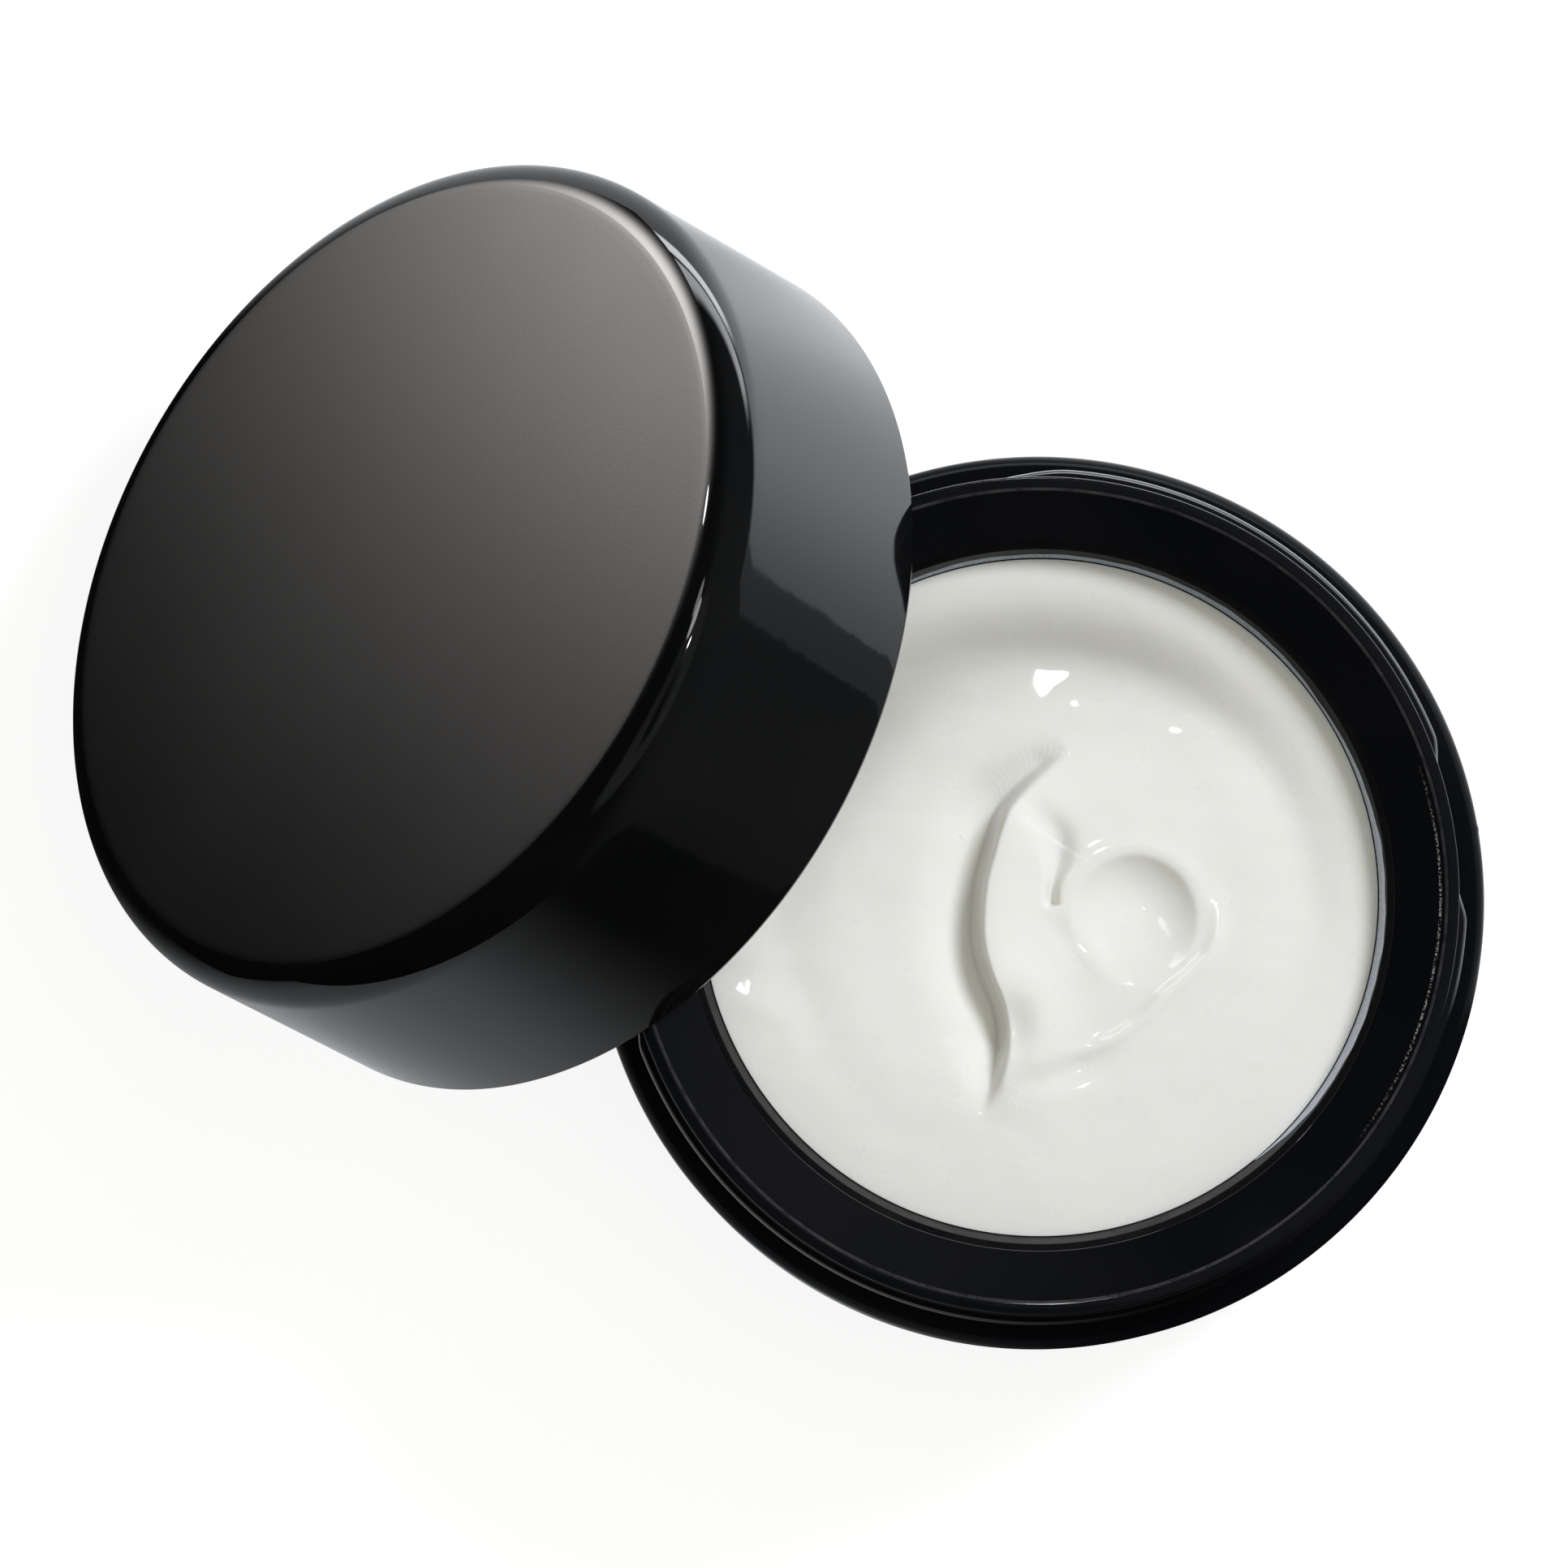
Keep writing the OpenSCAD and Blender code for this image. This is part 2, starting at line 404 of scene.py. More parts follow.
def make_lid_satin():
    m, nt, b = material("lid_satin", (0.004, 0.0038, 0.0037), 0.4, IOR=1.52)
    v = coords(nt)
    grain, speck, wide = noise(nt, v, 3800, 3, 0.6), noise(nt, v, 14000, 2), noise(nt, v, 60, 3)
    nt.links.new(mixed(nt, span(nt, grain, 0, 1), (0.0006, 0.00055, 0.0005), (0.0018, 0.0017, 0.0016)), b.inputs["Base Color"])
    nt.links.new(span(nt, wide, 0.35, 0.39), b.inputs["Roughness"])
    nt.links.new(bump(nt, speck, 0.000002, 0.5, bump(nt, grain, 0.000008, 0.5)), b.inputs["Normal"])
    return m


def make_insert():
    m, nt, b = material("insert_black", (0.014, 0.014, 0.015), 0.42, IOR=1.5)
    v = coords(nt)
    wide, grain = noise(nt, v, 120, 3), noise(nt, v, 5200, 3, 0.6)
    nt.links.new(mixed(nt, span(nt, wide, 0, 1), (0.011, 0.011, 0.012), (0.018, 0.018, 0.019)), b.inputs["Base Color"])
    nt.links.new(span(nt, grain, 0.34, 0.52), b.inputs["Roughness"])
    nt.links.new(bump(nt, grain, 0.00001, 0.6), b.inputs["Normal"])
    return m


def make_foam():
    m, nt, b = material("liner_foam", (0.8, 0.79, 0.76), 0.7, IOR=1.45)
    v = coords(nt)
    cell = nt.nodes.new("ShaderNodeTexVoronoi")
    cell.inputs["Scale"].default_value = 3200
    nt.links.new(v, cell.inputs["Vector"])
    wide, mid = noise(nt, v, 110, 3), noise(nt, v, 900, 3)
    nt.links.new(mixed(nt, span(nt, wide, 0, 1), (0.76, 0.75, 0.715), (0.83, 0.82, 0.795)), b.inputs["Base Color"])
    nt.links.new(span(nt, mid, 0.58, 0.78), b.inputs["Roughness"])
    nt.links.new(bump(nt, cell.outputs["Distance"], 0.00006, 0.55, bump(nt, mid, 0.00003, 0.5)), b.inputs["Normal"])
    return m


# ------------------------------------------------------------------ glass jar
def neck_bead(a):
    """Level and height of the neck's thread at each angle, a in radians."""
    t = (125 - np.degrees(a)) % 360
    z = H - 2.35 - PITCH * t / 360
    back = ramp(t, 324, 360)
    z = np.where(t > 324, (H - 2.35 - PITCH * 0.9) * (1 - back) + (H - 2.35) * back, z)
    h = (TR - NR) * np.minimum(ramp(t, 0, 13), ramp(324 - t, 0, 15))
    h = h * (0.12 + 0.88 * ramp(gap(125 - t, SEAM), 8, 13)) * (0.2 + 0.8 * ramp(gap(125 - t, SEAM + 180), 7, 12))
    return z, np.maximum(h, 0)


def make_jar():
    low = path([(0, 1.4), (21, 1.4, 1.2), (24.6, 0.25, 0.9), (25.4, 0, 0.5), (JR, 0, 3), (JR, SH, 1.9), (NR, SH, 0.45), (NR, SH + 0.9)], 12)
    top = path([(NR, H - 0.9), (NR, H, 0.13), (27.5, H, 0.8), (24.0, H - 1.62, 0.3), (23.5, H - 2.2, 0.35), (22.95, H - 4.2, 0.8),
                (BR, H - 5.4, 1.2), (BR, 6.2, 6), (0, 6.2)], 12)
    s = -np.cos(np.linspace(0, np.pi, 33))          # across the thread
    prof = np.vstack([low, np.zeros((7 + len(s) + 7, 2)), top])
    k = len(low) - 1
    n = 720

    def bend(A, R, Z):
        a = A[0]
        zb, h = neck_bead(a)
        w = 0.66
        zl, zh = zb - w, zb + w
        i = k
        za, ze = Z[k - 1], Z[k + len(s) + 14]
        for q in range(7):
            R[i], Z[i] = NR, za + (zl - za) * (q + 1) / 8
            i += 1
        for q in s:
            R[i], Z[i] = NR + h * np.sqrt(max(0, 1 - q * q)) ** 1.1, zb + w * q
            i += 1
        for q in range(7):
            R[i], Z[i] = NR, zh + (ze - zh) * (q + 1) / 8
            i += 1
        # hand-sized waviness of pressed glass: the inner edge of the lip and the slope below it
        edge = np.exp(-(((R - 27.3) / 0.5) ** 2)) * (Z > H - 1)
        Z += edge * 0.012 * wave(A, 5, 14, 3, 40)
        Z += edge * 0.03 * wave(A * 1.0, 11, 16, 30, 110) * np.exp(-(((np.degrees(A) - 147 + 180) % 360 - 180) / 13) ** 2)
        slope = np.exp(-(((R - 25.6) / 1.4) ** 2)) * (Z > H - 2.2)
        Z += slope * 0.02 * wave(A, 21, 9, 2, 9)
        # parting line of the mould on the outside
        for d in (SEAM, SEAM + 180):
            g = (np.degrees(A) - d + 180) % 360 - 180
            out = (R > 28.25) & (Z < H - 0.3) & (Z > 2)
            R += out * 0.045 * np.exp(-((g / 0.3) ** 2))
        return R, Z

    prof[k:k + 1] = prof[k - 1:k]
    V, F = turned(prof, n, bend)
    return new_mesh("jar_glass", V, F)


# ------------------------------------------------------------------ cream
# The photograph-side axes of the cream's surface: u and v in its plane, mm from the jar's axis.
UX, UY = (0.8942, 0.4478), (-0.4478, 0.8942)


def along(u, v, pts, closed=False):
    """Nearest point on a smooth curve: signed distance (positive on its right-hand side going on), place 0 to 1."""
    p = np.array(pts, float)
    t = np.linspace(0, len(p) - 1, 26 * (len(p) - 1))
    i = np.clip(t.astype(int), 0, len(p) - 2)
    f = t - i
    p0, p1, p2, p3 = p[np.maximum(i - 1, 0)], p[i], p[i + 1], p[np.minimum(i + 2, len(p) - 1)]
    f = f[:, None]
    c = 0.5 * (2 * p1 + (p2 - p0) * f + (2 * p0 - 5 * p1 + 4 * p2 - p3) * f ** 2 + (3 * p1 - p0 - 3 * p2 + p3) * f ** 3)
    step = np.gradient(c, axis=0)
    step /= np.linalg.norm(step, axis=1)[:, None]
    best, sign, place = np.full(u.shape, 1e9), np.ones(u.shape), np.zeros(u.shape)
    for q in range(len(c)):
        du, dv = u - c[q, 0], v - c[q, 1]
        d = du * du + dv * dv
        m = d < best
        best = np.where(m, d, best)
        sign = np.where(m, np.sign(step[q, 1] * du - step[q, 0] * dv), sign)
        place = np.where(m, q / (len(c) - 1), place)
    return np.sqrt(best) * sign, place


GROOVE = [(1.9, 10.3), (0.6, 9.5), (-0.75, 8.5), (-1.95, 7.4), (-2.85, 6.35), (-3.45, 5.0), (-3.95, 3.3), (-4.5, 1.2), (-4.75, -1.3),
          (-4.65, -3.4), (-4.1, -5.5), (-3.3, -7.5), (-3.0, -9.4), (-3.15, -11.1), (-3.6, -13.1), (-4.3, -14.8)]
FORK = [(-1.0, 7.6), (-0.4, 6.3), (0.4, 5.3), (1.2, 4.2), (1.35, 2.8), (1.05, 1.4), (0.85, 0.2), (0.9, -0.7)]
BANK_AT = [(-90, 18.8), (-20, 18.6), (10.9, 18.5), (32.8, 18.7), (55, 18.3), (75.7, 18.2), (96.4, 18.7), (117, 20.3), (140, 21.0), (200, 19.5), (270, 18.8)]
BANK = np.interp(np.arange(-180, 540) % 360 - 90, [b[0] for b in BANK_AT], [b[1] for b in BANK_AT])
BANK = np.convolve(BANK, np.exp(-(np.arange(-40, 41) / 16) ** 2) / np.sum(np.exp(-(np.arange(-40, 41) / 16) ** 2)), "same")[180:541]
DROP = np.linspace(-12, 12, 481)
DROP = np.stack([DROP, np.cumsum(np.exp(-(DROP / np.where(DROP < 0, 2.6, 1.5)) ** 2)) * 0.05])
RIDGE = [(11.7, 1.2), (12.2, -1.2), (11.7, -3.5), (10.3, -5.2), (8.7, -6.5), (7.0, -8.2), (4.9, -9.7), (2.6, -10.5), (0.6, -10.4)]
TROUGH = [(-2.2, -13.3), (-0.4, -12.6), (1.6, -11.9), (3.4, -11.2), (5.2, -10.6)]
GLINTS = [  # place (u, v), size along and across, direction in degrees, height
    (2.8, -3.3, 1.2, 0.8, -45, 0.06), (0.7, -1.5, 0.16, 0.16, 0, 0.06), (-7.5, -4.75, 0.13, 0.2, 60, 0.06), (-9.6, -3.15, 0.22, 0.14, 40, 0.07),
    (-11.35, 0.35, 0.22, 0.12, 25, 0.06), (-12.5, -0.55, 0.2, 0.12, 50, 0.06), (-11.3, -3.0, 0.6, 0.09, 72, 0.05), (-7.0, -9.9, 0.35, 0.2, 10, 0.04),
    (-4.8, -11.4, 0.15, 0.13, 60, 0.06), (-4.2, -15.1, 0.22, 0.1, 30, 0.05), (-3.0, -14.7, 0.24, 0.1, 30, 0.05), (-1.65, -14.15, 0.2, 0.1, 35, 0.05),
    (1.95, 21.4, 0.13, 0.12, 0, 0.06), (0.7, 15.3, 0.13, 0.12, 0, 0.05), (2.5, 12.6, 0.12, 0.12, 0, 0.05), (2.5, 12.0, 0.1, 0.1, 0, 0.04),
    (1.3, 8.2, 0.14, 0.1, 0, 0.04), (3.5, 7.7, 0.2, 0.1, -25, 0.05), (12.1, 4.2, 0.45, 0.1, -72, 0.05), (9.8, 2.6, 0.12, 0.1, 0, 0.05),
    (10.5, 1.9, 0.12, 0.1, 0, 0.04), (-8.0, 4.5, 0.2, 0.09, 15, 0.05), (-7.1, 4.75, 0.14, 0.09, 15, 0.04), (-5.25, 4.1, 0.16, 0.12, 0, 0.05),
    (-7.8, 3.65, 0.3, 0.1, 12, 0.05), (11.9, -3.7, 0.4, 0.1, 65, 0.05), (6.5, -7.2, 0.1, 0.1, 0, 0.04), (0.5, -6.4, 0.12, 0.1, 0, 0.04),
    (0.75, -7.0, 0.1, 0.12, 0, 0.04), (5.0, -9.8, 0.14, 0.1, 0, 0.04), (12.3, -11.6, 0.6, 0.12, 50, 0.05), (12.6, -15.1, 0.45, 0.1, 35, 0.04),
    (-19.2, -4.2, 0.9, 0.12, 78, 0.06), (-20.4, -6.0, 0.8, 0.45, -30, 0.16), (-19.8, -9.6, 0.2, 0.12, 50, 0.06), (-19.2, -11.3, 0.3, 0.1, 60, 0.06),
    (0.8, -22.2, 0.2, 0.12, 0, 0.05), (-14.0, -16.4, 0.2, 0.1, 20, 0.04), (-9.4, -20.2, 0.2, 0.1, 10, 0.04), (-12.2, 5.3, 0.2, 0.1, 20, 0.05)]
LAMP, EYE = np.array((-101.5, 201.9, 918.3)), np.array((6.2, -34.6, 987.6))   # a fleck shines when its normal halves these


def cream_waves(u, v):
    """Height of the cream's surface over its edge without its small flecks, mm."""
    r = np.hypot(u, v)
    h = 0.15 + 0.4 * ramp(22.9 - r, 0, 9)
    h += 0.02 * lumps(u, v, 3, 9) * ramp(22.9 - r, 0.3, 4) + 0.008 * lumps(u, v, 8, 2.6) * ramp(22.9 - r, 0.3, 3)
    # outer bank and the lower middle: the drop's slope is steepest on BANK and dies away faster on its inner side
    t, rho = np.degrees(np.arctan2(v + 1, u - 1)), np.hypot(u - 1, v + 1)
    t = (t + 90) % 360 - 90
    d = np.interp(t, np.arange(-90, 271), BANK) - rho
    f = ramp(t, -40, 75) * (1 - ramp(t, 125, 235))
    w = ramp(rho, 0, 24)
    h -= 0.56 * (f * w + 0.5 * (1 - w)) * np.interp(d, DROP[0], DROP[1])
    # spiral waves left by a finger or spatula
    t = np.degrees(np.arctan2(v + 1.5, u - 3.0))
    rho = np.hypot(u - 3.0, v + 1.5)
    h += 0.02 * np.cos(2 * np.pi * (rho - t / 360 * 6.5) / 6.5) * ramp(rho, 5, 9) * ramp(21.5 - r, 0, 5)
    # middle mound
    h += 0.25 * np.exp(-(((u - 2.5) / 7.5) ** 2 + ((v - 0.5) / 9.5) ** 2))
    # the long groove: soft bank on its left, steep wall under the tongue on its right
    d, s = along(u, v, GROOVE)
    d = -d                                               # positive towards the tongue
    deep = ramp(s, 0.0, 0.34) * (1 - ramp(s, 0.78, 1.0))
    left = np.exp(-(np.minimum(d, 0) / (0.9 + 1.5 * deep)) ** 2)
    right = 1 - ramp(d, 0.05, 0.7 + 0.3 * deep)
    h -= (0.35 + 1.15 * deep) * ramp(s, 0, 0.1) * (1 - ramp(s, 0.88, 1.0)) * np.where(d < 0, left, right)
    h += 1.3 * deep * np.where(d > 0, ramp(d, 0.1, 1.15) * np.exp(-(np.maximum(d - 1.15, 0) / 3.2) ** 2), 0)
    # short fork inside the tongue
    d, s = along(u, v, FORK)
    w = 0.95 - 0.6 * ramp(s, 0.45, 0.8)
    h -= (0.25 + 0.6 * ramp(s, 0.15, 0.7)) * ramp(s, 0, 0.2) * (1 - ramp(s, 0.93, 1.0)) * np.exp(-(d / w) ** 2)
    # dimple with its steep wall on the far side
    du, dv = (u - 6.4) / 4.3, (v + 1.5) / 4.4
    q, t = np.hypot(du, dv), np.arctan2(dv, du)
    wall = np.exp(-(((np.degrees(t) - 75 + 180) % 360 - 180) / 75.0) ** 2)
    bowl = 1 - q * q
    bowl = 0.5 * (bowl + np.sqrt(bowl * bowl + 0.006))
    h -= bowl * (0.3 + 1.5 * np.clip(0.45 + 0.55 * (du * 0.3 + dv * 0.95), 0, 1)) * ramp(1.6 - q, 0, 0.5)
    h += 0.12 * wall * np.exp(-((q - 1.14) / 0.16) ** 2)
    # rim of the scoop that runs round to the foot of the tongue
    d, s = along(u, v, RIDGE)
    h += 0.22 * ramp(s, 0, 0.25) * (1 - ramp(s, 0.7, 1)) * np.exp(-(d / 0.55) ** 2)
    d, s = along(u, v, TROUGH)
    h -= 0.22 * ramp(s, 0, 0.3) * (1 - ramp(s, 0.6, 1)) * np.exp(-(d / 0.9) ** 2)
    # shaded hollow between the groove's end and the scoop
    h -= 0.95 * np.exp(-(((u + 1.8) / 1.6) ** 2 + ((v + 8.8) / 2.3) ** 2))
    return h


def cream_level(x, y):
    """Height of the cream's surface over its edge, mm."""
    u, v = x * UX[0] + y * UX[1], x * UY[0] + y * UY[1]
    h = cream_waves(u, v)
    g = np.array([q[:2] for q in GLINTS])
    e = 0.03
    su = (cream_waves(g[:, 0] + e, g[:, 1]) - cream_waves(g[:, 0] - e, g[:, 1])) / (2 * e)
    sv = (cream_waves(g[:, 0], g[:, 1] + e) - cream_waves(g[:, 0], g[:, 1] - e)) / (2 * e)
    for (gu, gv, a, b, ang, size), pu, pv in zip(GLINTS, su, sv):
        at = np.array((gu * UX[0] + gv * UY[0], gu * UX[1] + gv * UY[1], H - 3.6))
        half = (LAMP - at) / np.linalg.norm(LAMP - at) + (EYE - at) / np.linalg.norm(EYE - at)
        half = -half[:2] / half[2]
        c, k = math.cos(math.radians(ang)), math.sin(math.radians(ang))
        p, o = (u - gu) * c + (v - gv) * k, -(u - gu) * k + (v - gv) * c
        a, b = 1.35 * a * size / 0.05, 1.0 * b * size / 0.05
        w = np.exp(-((p / a) ** 2) - (o / b) ** 2)
        # the fleck's middle faces the lamp overhead
        h += w * ((half @ UX - pu) * (u - gu) + (half @ UY - pv) * (v - gv))
    return h


def make_fill():
    n = 900
    side = path([(0, 6.23), (BR - 0.03, 6.23, 5.97), (BR - 0.03, H - 5.4), (22.92, H - 4.22)], 12, 1.2)
    R = np.concatenate([[22.9, 22.86, 22.8], np.linspace(22.7, 0.12, 186)])
    top = np.stack([R, np.full(len(R), H - 4.2)], 1)
    prof = np.vstack([side, top, [[0, H - 4.2]]])
    k = len(side) - 1

    def bend(A, RR, ZZ):
        x, y = RR[k:] * np.cos(A[k:]), RR[k:] * np.sin(A[k:])
        ZZ[k:] += cream_level(x, y)
        RR[k:] += 0.27 * (ZZ[k:] - H + 4.2) * ramp(RR[k:], 21, 22.9)
        return RR, ZZ

    V, F = turned(prof, n, bend)
    V[-1, 2] += float(cream_level(np.zeros(1), np.zeros(1))[0])
    return new_mesh("cream_fill", V, F)


def make_film():
    """The smear of cream left on the steep wall over the cream, on the far and right-hand sides."""
    parts = []
    round_about = np.radians(np.arange(-120, 600) / 4)
    edges = cream_level(22.9 * np.cos(round_about), 22.9 * np.sin(round_about))
    # each smear: from and to, degrees round the jar, with the height of its upper edge along the wall, mm
    for a0, a1, tops in ((-24, 26, (0.0, 0.7, 1.1, 1.3, 1.35, 1.3, 1.25, 1.2)), (26, 62, (1.2, 1.05, 0.8, 0.5, 0.3)), (62, 141, (0.4, 0.9, 0.95, 0.8, 0.75, 0.8, 0.6))):
        n = int((a1 - a0) * 4)
        rings = []
        for i in range(n + 1):
            f = i / n
            a = math.radians(a0 + (a1 - a0) * f)
            top = float(np.interp(f, np.linspace(0, 1, len(tops)), tops))
            top *= 1 + 0.06 * math.sin(a * 23) + 0.04 * math.sin(a * 61 + 1)
            edge = float(edges[int(round(a * 180 / math.pi * 4)) + 120])
            lo_t, hi_t = 0.10 + edge, min(1.97, 0.12 + edge + (1.2 if a0 < 60 else 1.0) * max(top, 0.02))
            sec = []
            for q in (0, 0.15, 0.4, 0.7, 0.9, 1):
                t = lo_t + (hi_t - lo_t) * q
                # the wall runs from (22.95, H-4.2) to (23.5, H-2.2)
                sec.append((22.95 + 0.275 * t, H - 4.2 + t))
            lift = (0.0, 0.03, 0.05, 0.045, 0.03, 0.0)
            front = [(r - k * 0.96, z + k * 0.26) for (r, z), k in zip(sec, lift)]
            back = [(r + 0.02, z) for r, z in reversed(sec)]
            rings.append([(r * math.cos(a), r * math.sin(a), z) for r, z in front + back])
        parts.append(tube(np.array(rings)))
    V, F = add(parts)
    ob = new_mesh("cream_film", V, F, sharp=60)
    ob.data.materials.append(make_smear())
    return ob


# ------------------------------------------------------------------ lid
def make_shell():
    prof = path([(29.8, 0.5), (29.8, 0.02, 0.0), (29.86, 0, 0.0), (30.45, 0, 0.1), (LR, 0.25, 0.2), (LR, LH, 2.7), (0, LH)], 20, 0.8)
    inner = path([(0, 17.1), (29.8, 17.1, 1.4), (29.8, 0.98), (29.56, 0.8, 0.05), (29.56, 0.56, 0.05), (29.8, 0.4)], 8, 0.9)
    n = 720
    A = np.linspace(0, 2 * np.pi, n, endpoint=False)
    out, inn = prof[1:-1], inner[1:]
    rows = np.vstack([out[::-1][:0], inn, out])          # from the roof's middle down inside, round the edge and up outside
    R, AA = np.meshgrid(rows[:, 0], A, indexing="ij")
    Z = np.meshgrid(rows[:, 1], A, indexing="ij")[0]
    V = np.stack([R * np.cos(AA), R * np.sin(AA), Z], -1).reshape(-1, 3)
    F = grid_faces(len(rows), n)
    lo, hi, last = len(V), len(V) + 1, (len(rows) - 1) * n
    V = np.vstack([V, [[0, 0, 17.1], [0, 0, LH]]])
    for j in range(n):
        k = (j + 1) % n
        F.append((lo, k, j))
        F.append((hi, last + j, last + k))
    ob = new_mesh("lid_outer", V, F, LIDM, sharp=50)
    ob.data.materials.append(lid_gloss)
    ob.data.materials.append(lid_satin)
    a = LIDM.to_3x3() @ Vector((0, 0, 1))
    centre = LIDM @ Vector((0, 0, LH)) * MM
    for p in ob.data.polygons:
        c = p.center - centre
        p.material_index = 1 if (c.dot(a) > -0.00005 and p.normal.dot(a) > 0.992 and (c - a * c.dot(a)).length < 0.0286) else 0
    return ob


def make_ribs():
    ring = path([(10.8, 12.93), (12, 12.93, 0.1), (12, 17.2, 0.0), (10.8, 17.2), (10.8, 12.93)], 3, 1.5)[:-1]
    parts = [turned(ring, 180, closed=True)]
    for i in range(12):
        a = math.radians(15 + 30 * i)
        box = []
        for x, y, z in [(11.6, -0.4, 13), (11.6, 0.4, 13), (11.6, 0.4, 17.2), (11.6, -0.4, 17.2)]:
            box.append((x, y, z))
        rings = []
        for x in (11.6, 11.7, 20, 28.7, 28.8):
            e = 0.06 if x in (11.6, 28.8) else 0.0
            rings.append([(x, -0.4 + e, 12.93 + e), (x, -0.34 + e * 0.5, 12.93), (x, 0.34 - e * 0.5, 12.93), (x, 0.4 - e, 12.93 + e), (x, 0.4 - e, 17.2), (x, -0.4 + e, 17.2)])
        rings = np.array(rings)
        c, s = math.cos(a), math.sin(a)
        rot = np.array([[c, -s, 0], [s, c, 0], [0, 0, 1]])
        parts.append(tube(rings @ rot.T))
    V, F = add(parts)
    ob = new_mesh("lid_ribs", V, F, LIDM, sharp=35)
    ob.data.materials.append(insert_black)
    return ob


def make_insert_mesh():
    n = 480
    prof = path([(0, 11.7), (29.15, 11.7, 0.3), (29.15, 10.42), (28.42, 10.3, 0.08), (28.42, 10.08, 0.08), (29.15, 9.8, 0.15), (29.15, 1.5, 0.2),
                 (29.32, 1.0, 0.1), (29.5, 1.0, 0.1), (29.74, 1.3, 0.1), (29.74, 11.9, 0.2), (28.75, 12.9, 0.2), (0, 12.9)], 5, 0.9)
    V, F = turned(prof, n)
    F = [f[::-1] for f in F]
    # internal thread
    T = np.linspace(0, 480, 640)
    k = np.linspace(-math.pi / 2, math.pi / 2, 13)
    rings = []
    for t in T:
        h = 0.6 * float(min(ramp(t, 0, 26), ramp(480 - t, 0, 26))) + 0.02
        z, a = 3.7 + PITCH * t / 360, math.radians(t)
        rr = 29.2 - h * np.cos(k) ** 0.8
        zz = z + 0.8 * np.sin(k)
        sec = np.stack([rr * math.cos(a), rr * math.sin(a), zz], 1)
        back = np.array([[29.4 * math.cos(a), 29.4 * math.sin(a), z + 0.8], [29.4 * math.cos(a), 29.4 * math.sin(a), z - 0.8]])
        rings.append(np.vstack([sec, back]))
    V2, F2 = tube(rings)
    V, F = add([(V, F), (V2, F2)])
    ob = new_mesh("lid_thread_insert", V, F, LIDM, sharp=60)
    ob.data.materials.append(insert_black)
    return ob


def make_liner():
    r = 28.85
    prof = path([(0, 10.6), (r, 10.6, 0.18), (r, 11.5, 0.18), (0, 11.5)], 6, 0.35)

    def bend(A, R, Z):
        low = Z < 11
        lip = np.exp(-(((R - 27.9) / 0.42) ** 4))
        Z += low * (0.16 * lip + 0.012 * wave(A, 31, 8, 2, 12) * np.exp(-(((R - 20) / 9) ** 2)))
        return R, Z

    V, F = turned(prof, 480, bend)
    ob = new_mesh("foam_disc", V, F, LIDM)
    ob.data.materials.append(liner_foam)
    return ob


def outward(ob):
    """Turns the faces outward."""
    import bmesh
    bm = bmesh.new()
    bm.from_mesh(ob.data)
    bmesh.ops.recalc_face_normals(bm, faces=bm.faces)
    bm.to_mesh(ob.data)
    bm.free()


black_glass, cream_mat = make_glass(), make_cream()
lid_gloss, lid_satin = make_lid_gloss(), make_lid_satin()
insert_black, liner_foam = make_insert(), make_foam()

jar = make_jar()
for m in (black_glass, make_glass_wall(), make_glass_edge(), make_glass_side()):
    jar.data.materials.append(m)
for p in jar.data.polygons:
    r, z = math.hypot(p.center.x, p.center.y) / MM, p.center.z / MM
    if z > H - 6 and r < 23.9:
        p.material_index = 1
    elif z > H - 0.3 and 27.22 < r < 27.52:
        p.material_index = 2
    elif z < SH + 0.2 and r > 28.6:
        p.material_index = 3
fill = make_fill()
fill.data.materials.append(cream_mat)
film = make_film()
shell, ribs, insert, liner = make_shell(), make_ribs(), make_insert_mesh(), make_liner()
for o in (jar, fill, film, shell, ribs, insert, liner):
    outward(o)

for ob, body, node, slot in ((jar, "jar", "glass_jar", "black_glass"), (fill, "jar", "cream", "cream"), (shell, "lid", "lid_shell", "lid_black"),
                             (insert, "lid", "lid_insert", "insert_black"), (liner, "liner", "foam_liner", "liner_foam")):
    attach(ob, body)
    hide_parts(node)
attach(film, "jar")
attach(ribs, "lid")


# ------------------------------------------------------------------ floor and surroundings
def quad(name, corners):
    me = bpy.data.meshes.new(name)
    me.from_pydata(corners, [], [(0, 1, 2, 3)])
    ob = bpy.data.objects.new(name, me)
    bpy.context.scene.collection.objects.link(ob)
    return ob


def rays(ob, camera=False, diffuse=False, glossy=False, shadow=False):
    ob.visible_camera, ob.visible_diffuse, ob.visible_glossy = camera, diffuse, glossy
    ob.visible_transmission, ob.visible_volume_scatter, ob.visible_shadow = camera, False, shadow


def emitter(name):
    m = bpy.data.materials.new(name)
    m.use_nodes = True
    nt = m.node_tree
    for n in list(nt.nodes):
        if n.type != "OUTPUT_MATERIAL":
            nt.nodes.remove(n)
    e = nt.nodes.new("ShaderNodeEmission")
    nt.links.new(e.outputs[0], nt.nodes["Material Output"].inputs["Surface"])
    m.cycles.emission_sampling = "NONE"
    return m, nt, e


def place(nt):
    g = nt.nodes.new("ShaderNodeNewGeometry")
    s = nt.nodes.new("ShaderNodeSeparateXYZ")
    nt.links.new(g.outputs["Position"], s.inputs[0])
    return s.outputs[0], s.outputs[1], s.outputs[2]


